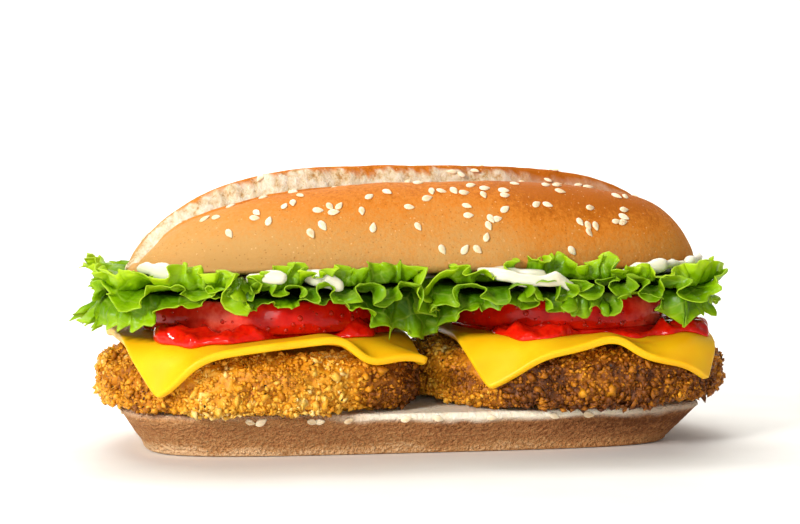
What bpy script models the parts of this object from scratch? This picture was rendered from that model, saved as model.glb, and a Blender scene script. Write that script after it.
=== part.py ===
"""Veggie burger in a long seeded bun: a flared heel, two breaded patties side by side, a cheese slice,
ketchup and a tomato slice on each, two frilled lettuce leaves, mayonnaise and a split crown.

Metres, +Z up, +X along the bun, the front at -Y. The origin is the middle of the heel's flat underside.
"""

from math import atan2, asin, cos, exp, hypot, pi, radians, sin

import bmesh
import bpy
from mathutils import Matrix, Vector

MM = 0.001
GAP = 0.3 * MM  # air between two layers, so that no two solids touch

# Driving dimensions, from the table up
HEEL_HEIGHT = 12.0 * MM
HEEL_FOOT = (75.0 * MM, 31.0 * MM)  # half length and half width of the underside
HEEL_BRIM = (82.4 * MM, 38.0 * MM)  # the same at the cut face
HEEL_BRIM_X = 1.3 * MM  # how far the cut face sits towards +X from the underside
HEEL_POWER = 4.2  # how square the plan is
HEEL_EDGE_RADII = (1.2 * MM, 1.8 * MM)  # at the underside and at the cut face

PATTY_RADIUS = 45.2 * MM
PATTY_THICKNESS = 17.3 * MM
PATTY_POWER = 3.2  # 2 is an ellipse in section, higher is a squarer rim

CHEESE_THICKNESS = 2.2 * MM
CHEESE_FLAT_RADIUS = 40.5 * MM  # past this the slice leaves the patty and hangs
CHEESE_BEND_RADIUS = 6.5 * MM

KETCHUP_RADIUS = 36.5 * MM
KETCHUP_LOBES = (1.8 * MM, 1.2 * MM)  # three slow lobes and seven short ones round the pool
KETCHUP_THICKNESS = 1.0 * MM
TOMATO_THICKNESS = 8.7 * MM

LEAF_THICKNESS = 2.0 * MM
LEAF_CRUMPLE = 1.1 * MM  # height of the folds inside the bun
LEAF_FRILL = 7.0 * MM  # height of the waves at the edge
LEAF_OVERHANG = 14.0 * MM  # how far the frill stands out of the crown
LEAF_FRILL_START = 0.8  # share of the leaf's plan where the waves begin
LEAF_FRILL_GROWS = 5.0 * MM  # the waves reach their full height this far out of the crown
LEAF_FRILL_SINKS = 0.3 * MM  # how far the frill hangs below the leaf's middle, on average
LEAF_POWER = 6.0  # how square each leaf's plan is

MAYO_HALF = (77.0 * MM, 34.5 * MM)
MAYO_POWER = 2.8  # how square the spread's plan is
MAYO_LOBES = (2.2 * MM, 1.0 * MM)  # nine bulges and four slow ones round the spread
MAYO_THICKNESS = 2.0 * MM

CROWN_HALF = (82.0 * MM, 37.5 * MM)
CROWN_CENTRE_X = 3.0 * MM
CROWN_HEIGHT = 30.0 * MM
CROWN_FILLET = 4.5 * MM  # height of the rounded lower edge half way along, down to none at the ends
CROWN_TUCK = 0.92  # width of the cut face over the full width
CROWN_POWER = 2.1  # roundness of the dome across the loaf
# Along the loaf the dome is as high as (1 - u^power)^root, towards the left end and towards the right
CROWN_LENGTHWISE = ((3.3, 0.70), (4.9, 0.61))
CROWN_PLAN_POWER = 2.7  # how square the loaf's plan is
SPLIT_DEPTH = 2.6 * MM
SPLIT_WIDTH = 4.0 * MM
SPLIT_Y = (-1.0 * MM, 8.0 * MM)  # where the split runs, at the left end and at the right end
FRONT_LOBE_SINKS = 3.6 * MM  # how much lower the dome is in front of the split
SPLIT_FADE = 0.12  # share of the half length over which the split runs out at each end

# Heights of the layers
PATTY_Z = HEEL_HEIGHT + GAP
CHEESE_Z = PATTY_Z + PATTY_THICKNESS + GAP
KETCHUP_Z = CHEESE_Z + CHEESE_THICKNESS + GAP
TOMATO_Z = KETCHUP_Z + KETCHUP_THICKNESS + GAP
LEAF_MID_Z = TOMATO_Z + TOMATO_THICKNESS + GAP + LEAF_THICKNESS / 2 + LEAF_CRUMPLE
MAYO_Z = LEAF_MID_Z + LEAF_THICKNESS / 2 + LEAF_CRUMPLE + GAP
CROWN_Z = MAYO_Z + MAYO_THICKNESS + GAP

# One entry for each half of the burger
HALVES = {
    "left": {
        "x": -43.0 * MM,
        "cheese_side": 80.0 * MM,
        "cheese_turn": radians(5),
        "cheese_shift": (1.4 * MM, -5.2 * MM),
        # how steeply each corner hangs: front left, front right, back right, back left
        "cheese_hang": (73, 28, 35, 50),
        "tomato": (-40.0 * MM, -3.0 * MM, 34.5 * MM),
        "phase": 0.0,
        "leaf_span": (-93.2 * MM, 0.8 * MM),
        "leaf_waves": (12, 19),
    },
    "right": {
        "x": 48.6 * MM,
        "cheese_side": 72.5 * MM,
        "cheese_turn": radians(1.5),
        "cheese_shift": (-1.4 * MM, -9.8 * MM),
        "cheese_hang": (60, 84, 50, 45),
        "tomato": (44.8 * MM, -4.0 * MM, 32.6 * MM),
        "phase": 2.1,
        "leaf_span": (1.8 * MM, 97.3 * MM),
        "leaf_waves": (13, 21),
    },
}

COLOURS = {
    "crust": (0.66, 0.37, 0.13, 1),
    "heel_crust": (0.48, 0.27, 0.12, 1),
    "breading": (0.50, 0.26, 0.06, 1),
    "cheese": (1.00, 0.62, 0.03, 1),
    "ketchup": (0.60, 0.02, 0.01, 1),
    "tomato": (0.66, 0.04, 0.02, 1),
    "lettuce": (0.22, 0.47, 0.03, 1),
    "mayonnaise": (0.86, 0.84, 0.74, 1),
}


def clear_scene():
    for obj in list(bpy.data.objects):
        bpy.data.objects.remove(obj)


def mix(a, b, share):
    return a + (b - a) * share


def clamp(value, low=0.0, high=1.0):
    return max(low, min(high, value))


def smooth_step(value):
    t = clamp(value)
    return t * t * (3 - 2 * t)


def signed_power(value, power):
    return abs(value) ** power * (1 if value >= 0 else -1)


def even_outline(half_x, half_y, power, count):
    """Points of a superellipse, equally spaced along it, anticlockwise from +X."""
    fine = 40 * count
    raw = []
    for i in range(fine + 1):
        a = 2 * pi * i / fine
        raw.append(Vector((half_x * signed_power(cos(a), 2 / power),
                           half_y * signed_power(sin(a), 2 / power))))
    run = [0.0]
    for a, b in zip(raw, raw[1:]):
        run.append(run[-1] + (b - a).length)
    points, i = [], 0
    for j in range(count):
        target = run[-1] * j / count
        while run[i + 1] < target:
            i += 1
        points.append(raw[i].lerp(raw[i + 1], (target - run[i]) / (run[i + 1] - run[i])))
    return points


def add_object(name, mesh, colour, collection):
    material = bpy.data.materials.get(colour) or bpy.data.materials.new(colour)
    material.use_nodes = True
    shader = material.node_tree.nodes["Principled BSDF"]
    shader.inputs["Base Color"].default_value = COLOURS[colour]
    shader.inputs["Roughness"].default_value = 0.5
    shader.inputs["Metallic"].default_value = 0.0
    mesh.materials.append(material)
    mesh.shade_smooth()
    mesh.set_sharp_from_angle(angle=radians(50))
    obj = bpy.data.objects.new(name, mesh)
    collection.objects.link(obj)
    return obj


def globe(name, segments, rings, place):
    """A mesh from a UV sphere whose vertices go where place(ring, segment) says.
    Ring 0 is the lower pole, and the last ring is the upper one."""
    bm = bmesh.new()
    bmesh.ops.create_uvsphere(bm, u_segments=segments, v_segments=rings, radius=1)
    for vertex in bm.verts:
        ring = round((asin(clamp(vertex.co.z, -1, 1)) + pi / 2) / pi * rings)
        segment = round(atan2(vertex.co.y, vertex.co.x) / (2 * pi) * segments) % segments
        vertex.co = place(ring, segment)
    bmesh.ops.recalc_face_normals(bm, faces=bm.faces)
    mesh = bpy.data.meshes.new(name)
    bm.to_mesh(mesh)
    bm.free()
    return mesh


def slab_rings(flat_shares, edge_steps):
    """(share of the plan, share of the height) for each ring of a flat piece with a round edge."""
    rings = [(s, 0.0) for s in flat_shares]
    for i in range(1, edge_steps):
        a = -pi / 2 + pi * i / edge_steps
        rings.append((mix(flat_shares[-1], 1.0, cos(a)), 0.5 + 0.5 * sin(a)))
    return rings + [(s, 1.0) for s in reversed(flat_shares)]


def heel(collection):
    """The bottom bun: a flat foot, sides that flare up to the cut face, and both edges rounded."""
    foot_radius, brim_radius = HEEL_EDGE_RADII
    side_steps = 4
    rings = [(s, 0.0, 0.0) for s in (0.0, 0.4, 0.75, 0.975)]
    for i in range(side_steps + 1):
        share = i / side_steps
        rings.append((1.0, mix(foot_radius, HEEL_HEIGHT - brim_radius, share), share))
    rings += [(s, HEEL_HEIGHT, 1.0) for s in (0.975, 0.75, 0.4, 0.0)]
    segments = 56
    feet = even_outline(*HEEL_FOOT, HEEL_POWER, segments)
    brims = even_outline(*HEEL_BRIM, HEEL_POWER, segments)

    def place(ring, segment):
        scale, z, flare = rings[ring]
        x, y = feet[segment].lerp(brims[segment], flare) * scale
        return Vector((x + HEEL_BRIM_X * flare, y, z))

    return add_object("heel", globe("heel", segments, len(rings) - 1, place), "heel_crust", collection)


def patty(side, collection):
    """A breaded disc, squarer than an ellipse in section and a little uneven round the rim."""
    half = HALVES[side]
    segments, rings = 36, 12
    name = f"patty_{side}"

    def place(ring, segment):
        lat = -pi / 2 + pi * ring / rings
        a = 2 * pi * segment / segments
        dents = 0.008 * (1 + sin(3 * a + half["phase"])) + 0.006 * (1 + sin(5 * a + 1 + half["phase"]))
        reach = PATTY_RADIUS * (1 - dents) * signed_power(cos(lat), 2 / PATTY_POWER)
        z = PATTY_Z + PATTY_THICKNESS / 2 * (1 + signed_power(sin(lat), 2 / PATTY_POWER))
        return Vector((half["x"] + reach * cos(a), reach * sin(a), z))

    return add_object(name, globe(name, segments, rings, place), "breading", collection)


def hang_angle(half, direction):
    """How steeply the slice hangs in this direction, blended between its corners."""
    corners = [half["cheese_turn"] + radians(a) for a in (225, 315, 45, 135)]
    weights = [max(0.0, cos(direction - c)) ** 2 for c in corners]
    return radians(sum(w * h for w, h in zip(weights, half["cheese_hang"])) / sum(weights))


def cheese(side, collection):
    """A square slice on the patty. Past the patty's flat top it bends over the rim and hangs straight."""
    half = HALVES[side]
    name = f"cheese_{side}"
    steps = 14
    bm = bmesh.new()
    bmesh.ops.create_grid(bm, x_segments=steps, y_segments=steps, size=half["cheese_side"] / 2)
    mid_z = CHEESE_Z + CHEESE_THICKNESS / 2
    turn = Matrix.Rotation(half["cheese_turn"], 2)
    for vertex in bm.verts:
        flat = turn @ vertex.co.xy + Vector(half["cheese_shift"])
        direction, run = atan2(flat.y, flat.x), flat.length
        hang = hang_angle(half, direction)
        past = max(0.0, run - CHEESE_FLAT_RADIUS)
        bend = min(past / CHEESE_BEND_RADIUS, hang)
        straight = past - bend * CHEESE_BEND_RADIUS
        reach = min(run, CHEESE_FLAT_RADIUS) + CHEESE_BEND_RADIUS * sin(bend) + straight * cos(bend)
        drop = CHEESE_BEND_RADIUS * (1 - cos(bend)) + straight * sin(bend)
        vertex.co = (half["x"] + reach * cos(direction), reach * sin(direction), mid_z - drop)
    mesh = bpy.data.meshes.new(name)
    bm.to_mesh(mesh)
    bm.free()
    obj = add_object(name, mesh, "cheese", collection)
    skin = obj.modifiers.new("thickness", "SOLIDIFY")
    skin.thickness = CHEESE_THICKNESS
    skin.offset = 0
    return obj


def ketchup(side, collection):
    """A pool between the cheese and the tomato, with lobes that squeeze out at its edge."""
    half = HALVES[side]
    name = f"ketchup_{side}"
    segments = 36
    rings = slab_rings((0.0, 0.5, 0.93), 4)

    def place(ring, segment):
        share, up = rings[ring]
        a = 2 * pi * segment / segments
        slow, short = KETCHUP_LOBES
        reach = KETCHUP_RADIUS + slow * sin(3 * a + half["phase"]) + short * sin(7 * a + half["phase"])
        reach *= share
        return Vector((half["x"] + reach * cos(a), reach * sin(a), KETCHUP_Z + up * KETCHUP_THICKNESS))

    return add_object(name, globe(name, segments, len(rings) - 1, place), "ketchup", collection)


def tomato(side, collection):
    """A cross-cut slice: two flat faces and a bulging rim of skin, slightly lobed in plan."""
    x, y, radius = HALVES[side]["tomato"]
    name = f"tomato_{side}"
    segments = 40
    rings = slab_rings((0.0, 0.5, 0.955), 5)

    def place(ring, segment):
        share, up = rings[ring]
        a = 2 * pi * segment / segments
        reach = share * radius * (1 - 0.012 * (1 + sin(5 * a + HALVES[side]["phase"])))
        return Vector((x + reach * cos(a), y + reach * sin(a), TOMATO_Z + up * TOMATO_THICKNESS))

    return add_object(name, globe(name, segments, len(rings) - 1, place), "tomato", collection)


def distance_out(x, y):
    """Roughly how far a point of the plan is outside the crown's outline, and 0 inside it."""
    u, v = (x - CROWN_CENTRE_X) / CROWN_HALF[0], y / CROWN_HALF[1]
    level = (abs(u) ** CROWN_PLAN_POWER + abs(v) ** CROWN_PLAN_POWER) ** (1 / CROWN_PLAN_POWER)
    return hypot(x - CROWN_CENTRE_X, y) * max(0.0, 1 - 1 / max(level, 0.01))


def lettuce(side, collection):
    """A leaf that runs through the burger, gently crumpled inside and in deep waves where it stands out."""
    half = HALVES[side]
    name = f"lettuce_{side}"
    segments = 76
    rings = slab_rings((0.0, 0.5, 0.8, 0.9, 0.985), 2)
    low, high = half["leaf_span"]
    middle_x = (low + high) / 2
    edge_notch = 0.02  # share of the plan that the edge dips in between two waves
    outline = even_outline((high - low) / 2, CROWN_HALF[1] + LEAF_OVERHANG, LEAF_POWER, segments)
    waves, ripples = half["leaf_waves"]

    def place(ring, segment):
        share, up = rings[ring]
        a = 2 * pi * segment / segments
        edge = outline[segment] * (1 - edge_notch * (1 + sin(waves * a + 1.2)))
        x, y = middle_x + edge.x * share, edge.y * share
        ramp = smooth_step((share - LEAF_FRILL_START) / (1 - LEAF_FRILL_START))
        ramp *= smooth_step(distance_out(x, y) / LEAF_FRILL_GROWS)
        crumple = LEAF_CRUMPLE * sin(x / (6 * MM) + half["phase"]) * sin(y / (7 * MM))
        frill = LEAF_FRILL * (0.72 * sin(waves * a + half["phase"]) + 0.28 * sin(ripples * a))
        z = LEAF_MID_Z + mix(crumple, frill - LEAF_FRILL_SINKS, ramp) + (up - 0.5) * LEAF_THICKNESS
        return Vector((x, y, z))

    return add_object(name, globe(name, segments, len(rings) - 1, place), "lettuce", collection)


def mayonnaise(collection):
    """A spread under the crown that bulges out at its edge in slow lobes."""
    segments = 60
    rings = slab_rings((0.0, 0.5, 0.95), 4)
    outline = even_outline(*MAYO_HALF, MAYO_POWER, segments)
    short, slow = MAYO_LOBES

    def place(ring, segment):
        share, up = rings[ring]
        a = 2 * pi * segment / segments
        bulge = short * sin(9 * a + 0.6) + slow * sin(4 * a)
        edge = outline[segment] + outline[segment].normalized() * bulge
        return Vector((CROWN_CENTRE_X + edge.x * share, edge.y * share, MAYO_Z + up * MAYO_THICKNESS))

    return add_object("mayonnaise", globe("mayonnaise", segments, len(rings) - 1, place),
                      "mayonnaise", collection)


def crown_height(u, y, width):
    """Height of the dome over its lower edge, at a share u of its half length and y from its middle line.
    The loaf's half width there is `width`."""
    v = y / CROWN_HALF[1]
    power, root = CROWN_LENGTHWISE[u > 0]
    along = (1 - abs(u) ** power) ** root
    across = max(1 - abs(y / max(width, 1e-6)) ** CROWN_POWER, 0.0) ** (1 / CROWN_POWER)
    dome = (CROWN_HEIGHT - CROWN_FILLET) * along * across
    in_front = mix(*SPLIT_Y, (u + 1) / 2) - y
    groove = SPLIT_DEPTH * exp(-((in_front / SPLIT_WIDTH) ** 2))
    lower = FRONT_LOBE_SINKS * smooth_step(in_front / SPLIT_WIDTH + 0.5) * smooth_step(1 - abs(v))
    return max(dome - (groove + lower) * smooth_step((1 - abs(u)) / SPLIT_FADE), 0.0)


def crown(collection):
    """The top bun: a domed loaf with a flat cut face and a lengthwise split, its poles at its two ends."""
    dome_points, stations = 28, 24
    crowding = 0.30  # brings the dome's points together at its top, where the split is
    # (share of the width, share of the fillet's height) round the lower part, from the front to the back
    fillet = [(mix(CROWN_TUCK, 1.0, cos(a)), 1 - sin(a)) for a in (pi / 6, pi / 3, pi / 2)]
    under = [(-share, up) for share, up in fillet]
    under += [(CROWN_TUCK * share, 0.0) for share in (-0.6, -0.2, 0.2, 0.6)]
    under += reversed(fillet)
    around = dome_points + 1 + len(under)

    def place(ring, segment):
        u = -cos(pi * ring / stations)
        width = CROWN_HALF[1] * (1 - abs(u) ** CROWN_PLAN_POWER) ** (1 / CROWN_PLAN_POWER)
        fillet_height = CROWN_FILLET * (1 - u * u)
        if segment <= dome_points:
            lift = pi * segment / dome_points
            y = width * cos(lift + crowding * sin(2 * lift))
            z = fillet_height + crown_height(u, y, width)
        else:
            share, up = under[segment - dome_points - 1]
            y = share * width
            z = up * fillet_height
        return Vector((CROWN_CENTRE_X + u * CROWN_HALF[0], y, CROWN_Z + z))

    return add_object("crown", globe("crown", around, stations, place), "crust", collection)


def build():
    clear_scene()
    burger = bpy.data.collections.new("veggie_burger")
    bpy.context.scene.collection.children.link(burger)
    heel(burger)
    for side in HALVES:
        patty(side, burger)
        cheese(side, burger)
        ketchup(side, burger)
        tomato(side, burger)
        lettuce(side, burger)
    mayonnaise(burger)
    crown(burger)


build()
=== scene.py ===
"""A veggie burger in a long seeded bun, finished piece by piece around its CAD frame.

Shapes are worked out in millimetres, in the frame's own axes (+X along the bun, the front at -Y, +Z up), and
turned to metres when a mesh is made. Each piece takes its place from its own node's box.
"""

from itertools import product
from math import cos, pi, radians, sin

import bmesh
import bpy
import numpy as np
from mathutils import Matrix, Vector
from mathutils.kdtree import KDTree


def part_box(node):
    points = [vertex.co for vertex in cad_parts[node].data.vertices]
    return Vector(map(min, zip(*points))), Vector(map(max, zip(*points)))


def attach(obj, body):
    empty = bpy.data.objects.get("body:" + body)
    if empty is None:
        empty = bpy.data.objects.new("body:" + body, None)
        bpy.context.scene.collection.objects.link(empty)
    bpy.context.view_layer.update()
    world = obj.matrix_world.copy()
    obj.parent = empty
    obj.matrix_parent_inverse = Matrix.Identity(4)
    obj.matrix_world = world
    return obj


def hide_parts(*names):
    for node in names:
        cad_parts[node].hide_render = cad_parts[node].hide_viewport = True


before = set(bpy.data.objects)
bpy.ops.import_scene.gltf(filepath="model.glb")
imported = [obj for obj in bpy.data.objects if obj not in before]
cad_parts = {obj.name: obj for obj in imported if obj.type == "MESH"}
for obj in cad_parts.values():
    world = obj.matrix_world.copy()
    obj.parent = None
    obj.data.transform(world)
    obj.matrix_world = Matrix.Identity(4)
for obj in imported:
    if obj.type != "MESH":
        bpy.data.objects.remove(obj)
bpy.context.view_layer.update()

MM = 0.001
UP = np.array([0.0, 0.0, 1.0])
TOWARDS_MIDDLE = {"left": 1, "right": -1}  # the way along X from each half to the other


# Small sums that the pieces share

def box_mm(node):
    """Lowest and highest corner of a CAD node, in mm."""
    low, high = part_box(node)
    return np.array(low) / MM, np.array(high) / MM


def middle_and_half(node):
    """Middle and half size of a CAD node's box, in mm."""
    low, high = box_mm(node)
    return (low + high) / 2, (high - low) / 2


def mix(a, b, share):
    return a + (b - a) * share


def smooth(value):
    """0 below 0, 1 above 1 and an even S between."""
    t = np.clip(value, 0, 1)
    return t * t * (3 - 2 * t)


def hump(value, middle, half_width):
    """1 at the middle and down to nothing about two half widths away."""
    return np.exp(-((value - middle) / half_width) ** 2)


def unit(vectors):
    return vectors / np.maximum(np.linalg.norm(vectors, axis=-1, keepdims=True), 1e-9)


LATTICE = np.random.default_rng(5).uniform(-1, 1, (64, 64, 64))


def noise(points, size, seed=0):
    """Smooth noise from -1 to 1 at points in mm, in lumps about `size` mm across."""
    place = points / size + seed * np.array([7.31, 3.77, 11.93])
    cell = np.floor(place).astype(int)
    share = smooth(place - cell)
    total = np.zeros(points.shape[:-1])
    for corner in product((0, 1), repeat=3):
        weight = np.prod(np.where(corner, share, 1 - share), axis=-1)
        total += weight * LATTICE[tuple(np.moveaxis((cell + corner) % 64, -1, 0))]
    return total


def compass(count):
    """Angles all round from +X, in radians, and the level unit vectors along them."""
    angles = np.linspace(0, 2 * pi, count, endpoint=False)
    return angles, np.stack([np.cos(angles), np.sin(angles), 0 * angles], axis=-1)


def superellipse(angle, half_x, half_y, power):
    """Points of a rounded rectangle's outline, at angles from +X."""
    c, s = np.cos(angle), np.sin(angle)
    return np.stack([half_x * np.sign(c) * np.abs(c) ** (2 / power),
                     half_y * np.sign(s) * np.abs(s) ** (2 / power)], axis=-1)


def evenly_along(points, count, closed=False):
    """The same line again, with `count` points at equal steps along it."""
    line = np.concatenate([points, points[:1]]) if closed else points
    run = np.concatenate([[0], np.cumsum(np.linalg.norm(np.diff(line, axis=0), axis=1))])
    wanted = np.linspace(0, run[-1], count, endpoint=not closed)
    return np.stack([np.interp(wanted, run, column) for column in line.T], axis=-1)


# Meshes

def grid_faces(rows, columns, closed=False):
    """Quads between neighbouring rows and columns of numbered points. Closed joins the last column to the
    first."""
    here = np.arange(rows * columns).reshape(rows, columns)
    if closed:
        here = np.concatenate([here, here[:, :1]], axis=1)
    return np.stack([here[:-1, :-1], here[:-1, 1:], here[1:, 1:], here[1:, :-1]], axis=-1).reshape(-1, 4)


def ring_normals(grid):
    """Unit normals of rings of points (rings, points round, xyz)."""
    round_it = np.roll(grid, -1, axis=1) - np.roll(grid, 1, axis=1)
    return unit(np.cross(round_it, np.gradient(grid, axis=0)))


def outward_normals(grid):
    """The same, turned to point out of a closed skin."""
    normals = ring_normals(grid)
    return normals * np.sign(((grid - grid.mean(axis=(0, 1))) * normals).sum())


def with_columns(grid, *values):
    """A grid of points with further values, one a point, in the columns after its x, y and z."""
    return np.concatenate([grid, np.stack(np.broadcast_arrays(*values), axis=-1)], axis=-1)


def globe(grid):
    """Points and faces of a closed skin, from rings of points whose first and last ring are single points."""
    rings, segments = grid.shape[:2]
    points = np.concatenate([grid[:1, 0], grid[1:-1].reshape(-1, grid.shape[2]), grid[-1:, 0]])
    quads = grid_faces(rings - 2, segments, closed=True) + 1
    here = np.arange(segments)
    after = np.roll(here, -1)
    last_ring = 1 + (rings - 3) * segments
    first_fan = np.stack([after + 1, here + 1, 0 * here], axis=-1)
    last_fan = np.stack([here + last_ring, after + last_ring, 0 * here + len(points) - 1], axis=-1)
    return points, [quads, first_fan, last_fan]


def add_object(name, data):
    """A new object in the scene, from a mesh, a lamp or a camera."""
    added = bpy.data.objects.new(name, data)
    bpy.context.scene.collection.objects.link(added)
    return added


def add_piece(name, mesh, material, nodes=()):
    """Adds a mesh to the scene as a piece that rides on the one body and stands for its CAD nodes."""
    mesh.materials.append(material)
    piece = add_object(name, mesh)
    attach(piece, "root")
    if nodes:
        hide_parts(*nodes)
    return piece


def make_piece(name, points, face_sets, material, nodes=(), values=(), faceted=False):
    """A piece from points in mm. Their columns after x, y and z hold the values that its material reads."""
    mesh = bpy.data.meshes.new(name)
    corners = np.concatenate([faces.ravel() for faces in face_sets])
    sizes = np.concatenate([np.full(len(faces), faces.shape[1]) for faces in face_sets])
    mesh.vertices.add(len(points))
    mesh.vertices.foreach_set("co", (points[:, :3] * MM).ravel())
    mesh.loops.add(len(corners))
    mesh.loops.foreach_set("vertex_index", corners)
    mesh.polygons.add(len(sizes))
    mesh.polygons.foreach_set("loop_start", np.concatenate([[0], np.cumsum(sizes)[:-1]]))
    mesh.update(calc_edges=True)
    for column, value in enumerate(values, 3):
        mesh.attributes.new(value, "FLOAT", "POINT").data.foreach_set("value", points[:, column].copy())
    bm = bmesh.new()
    bm.from_mesh(mesh)
    bmesh.ops.recalc_face_normals(bm, faces=bm.faces)
    bm.to_mesh(mesh)
    bm.free()
    if not faceted:
        mesh.shade_smooth()
    return add_piece(name, mesh, material, nodes)


def thicken(piece, thickness):
    """Gives a sheet its thickness in mm, half on each side."""
    skin = piece.modifiers.new("thickness", "SOLIDIFY")
    skin.thickness = thickness * MM
    skin.offset = 0


def small_shape(make, **settings):
    """Points and triangles of a small bmesh primitive of radius 1."""
    bm = bmesh.new()
    make(bm, radius=1, **settings)
    bmesh.ops.triangulate(bm, faces=bm.faces)
    points = np.array([vertex.co for vertex in bm.verts])
    faces = np.array([[vertex.index for vertex in face.verts] for face in bm.faces])
    bm.free()
    return points, faces


def axes_on(normals, spins):
    """Three unit axes for each normal: two along the surface, the first of them level before its spin, and
    the normal."""
    first = unit(np.cross([0.0, 0.08, 1.0], normals))
    second = np.cross(normals, first)
    c, s = np.cos(spins)[:, None], np.sin(spins)[:, None]
    return np.stack([first * c + second * s, second * c - first * s, normals], axis=1)


def scatter(shape, places, axes, sizes, uneven, rng):
    """Copies of a small shape, each with its own place, axes, half sizes and uneven corners."""
    points, faces = shape
    rough = 1 + uneven * rng.uniform(-1, 1, (len(places), len(points), 1))
    spread = np.einsum("nvk,nkd->nvd", points * rough * sizes[:, None], axes) + places[:, None]
    shifted = faces + len(points) * np.arange(len(places))[:, None, None]
    return spread.reshape(-1, 3), shifted.reshape(-1, 3)


# Nodes that the materials are made of

def colour(hex_code):
    """Linear RGBA of an sRGB hex colour."""
    values = [int(hex_code[i:i + 2], 16) / 255 for i in (1, 3, 5)]
    return [v / 12.92 if v <= 0.04045 else ((v + 0.055) / 1.055) ** 2.4 for v in values] + [1.0]


def add_node(tree, kind, inputs=None, stops=(), **settings):
    """Adds a shader node. `inputs` gives each socket a value or a link, and `stops` is a ramp's colours."""
    node = tree.nodes.new("ShaderNode" + kind)
    for name, value in settings.items():
        setattr(node, name, value)
    for socket, value in (inputs or {}).items():
        if isinstance(value, bpy.types.NodeSocket):
            tree.links.new(value, node.inputs[socket])
        else:
            node.inputs[socket].default_value = value
    for i, (position, hex_code) in enumerate(stops):
        elements = node.color_ramp.elements
        element = elements[i] if i < len(elements) else elements.new(position)
        element.position = position
        element.color = colour(hex_code)
    return node


def painted(tree, name):
    """A named value that the mesh carries at each point."""
    return add_node(tree, "Attribute", attribute_name=name).outputs["Fac"]


def per_mm(size):
    """The texture scale that gives lumps of this size in mm."""
    return 1 / (size * MM)


def cloud(tree, place, size, detail=2.0, roughness=0.5):
    """Noise in lumps of this size in mm."""
    return add_node(tree, "TexNoise", {"Vector": place, "Scale": per_mm(size), "Detail": detail,
                                       "Roughness": roughness}).outputs["Fac"]


def maths(tree, operation, *values):
    return add_node(tree, "Math", dict(enumerate(values)), operation=operation).outputs[0]


def add_up(tree, total, *parts):
    """A total, with each further value added to it times its weight."""
    for value, weight in parts:
        total = maths(tree, "MULTIPLY_ADD", value, weight, total)
    return total


def carry(tree, value, low, high, start=0.0, end=1.0):
    """Carries `start` to `end` over to `low` to `high`, and stays there beyond."""
    return add_node(tree, "MapRange", {"Value": value, "From Min": start, "From Max": end, "To Min": low,
                                       "To Max": high}).outputs[0]


def ramp(tree, value, *stops):
    return add_node(tree, "ValToRGB", {"Fac": value}, stops=stops).outputs["Color"]


def blend(tree, share, first, second):
    return add_node(tree, "Mix", {0: share, 6: first, 7: second}, data_type="RGBA").outputs[2]


def flecks(tree, place, spacing, radius, left_out):
    """1 inside round flecks and 0 outside. The radius is a share of the spacing in mm, and `left_out` the
    share of flecks that don't show."""
    cells = add_node(tree, "TexVoronoi", {"Vector": place, "Scale": per_mm(spacing)})
    near = maths(tree, "LESS_THAN", cells.outputs["Distance"], radius)
    pick = add_node(tree, "SeparateColor", {0: cells.outputs["Color"]}).outputs[0]
    return maths(tree, "MULTIPLY", near, maths(tree, "GREATER_THAN", pick, left_out))


def relief(tree, height, strength, depth):
    """A bump of this depth in mm."""
    return add_node(tree, "Bump", {"Height": height, "Strength": strength, "Distance": depth * MM}).outputs[0]


def principled(tree, base, roughness, ior, bump, specular=0.5, soak=0.0, spread=(1.0, 0.2, 0.1), depth=1.0,
               clear=0.0):
    """The common shader. Light soaks in by the share `soak` and `depth` mm deep, `spread` over red, green and
    blue."""
    return add_node(tree, "BsdfPrincipled", {
        "Base Color": base, "Roughness": roughness, "IOR": ior, "Normal": bump,
        "Specular IOR Level": specular, "Transmission Weight": clear,
        "Subsurface Weight": soak, "Subsurface Radius": spread, "Subsurface Scale": depth * MM}).outputs[0]


def start_material(name):
    """An empty material, its node tree and its object coordinates."""
    material = bpy.data.materials.new(name)
    material.use_nodes = True
    tree = material.node_tree
    tree.nodes.clear()
    return material, tree, add_node(tree, "TexCoord").outputs["Object"]


def end_material(material, shader):
    add_node(material.node_tree, "OutputMaterial", {"Surface": shader})
    return material


# Materials

def baked_crust(name, browning, crumb_shades, bran, pebble, pebble_relief_and_shade):
    """Soft wheat bun, proved, brushed and baked: a thin satin skin with fine pebbles, browner where it stood
    highest, with flecks of bran, and a pale open crumb where it was torn or cut. The darkening it reads also
    carries painted shade and light. `pebble` is the size of the pebbles in mm, and `pebble_relief_and_shade`
    is how strongly they stand out, in the bump and in a painted shade that keeps their tops paler."""
    material, tree, place = start_material(name)
    crumb = painted(tree, "crumb")
    pebbles = cloud(tree, place, pebble, 2.0, 0.6)
    # Painted shade: the tops of the pebbles are painted paler and their hollows darker, standing in for the
    # light on them
    shade = add_up(tree, painted(tree, "browning_and_shade"), (cloud(tree, place, 14, 3.0), 0.4),
                   (cloud(tree, place, 1.3, 5.0, 0.75), 1.1), (pebbles, -0.85 * pebble_relief_and_shade))
    skin = ramp(tree, maths(tree, "ADD", shade, 0.36 * pebble_relief_and_shade - 0.75), *browning)
    for shift, hex_code, left_out in bran:
        shifted = add_node(tree, "VectorMath", {0: place, 1: (shift * MM, 0, 0)}).outputs[0]
        shown = maths(tree, "MULTIPLY", flecks(tree, shifted, 1.1, 0.2, left_out), 0.4)
        skin = blend(tree, shown, skin, colour(hex_code))
    pores = cloud(tree, place, 2.4, 5.0, 0.7)
    base = blend(tree, crumb, skin, ramp(tree, pores, *crumb_shades))
    height = add_node(tree, "Mix", {0: crumb, 2: pebbles, 3: pores}).outputs[0]
    bump = relief(tree, height, carry(tree, crumb, pebble_relief_and_shade, 0.7), 2.2)
    return end_material(material, principled(
        tree, base, carry(tree, crumb, 0.6, 0.9), 1.45, bump, specular=0.06, soak=0.12,
        spread=(1.0, 0.55, 0.3), depth=1.2))


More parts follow.
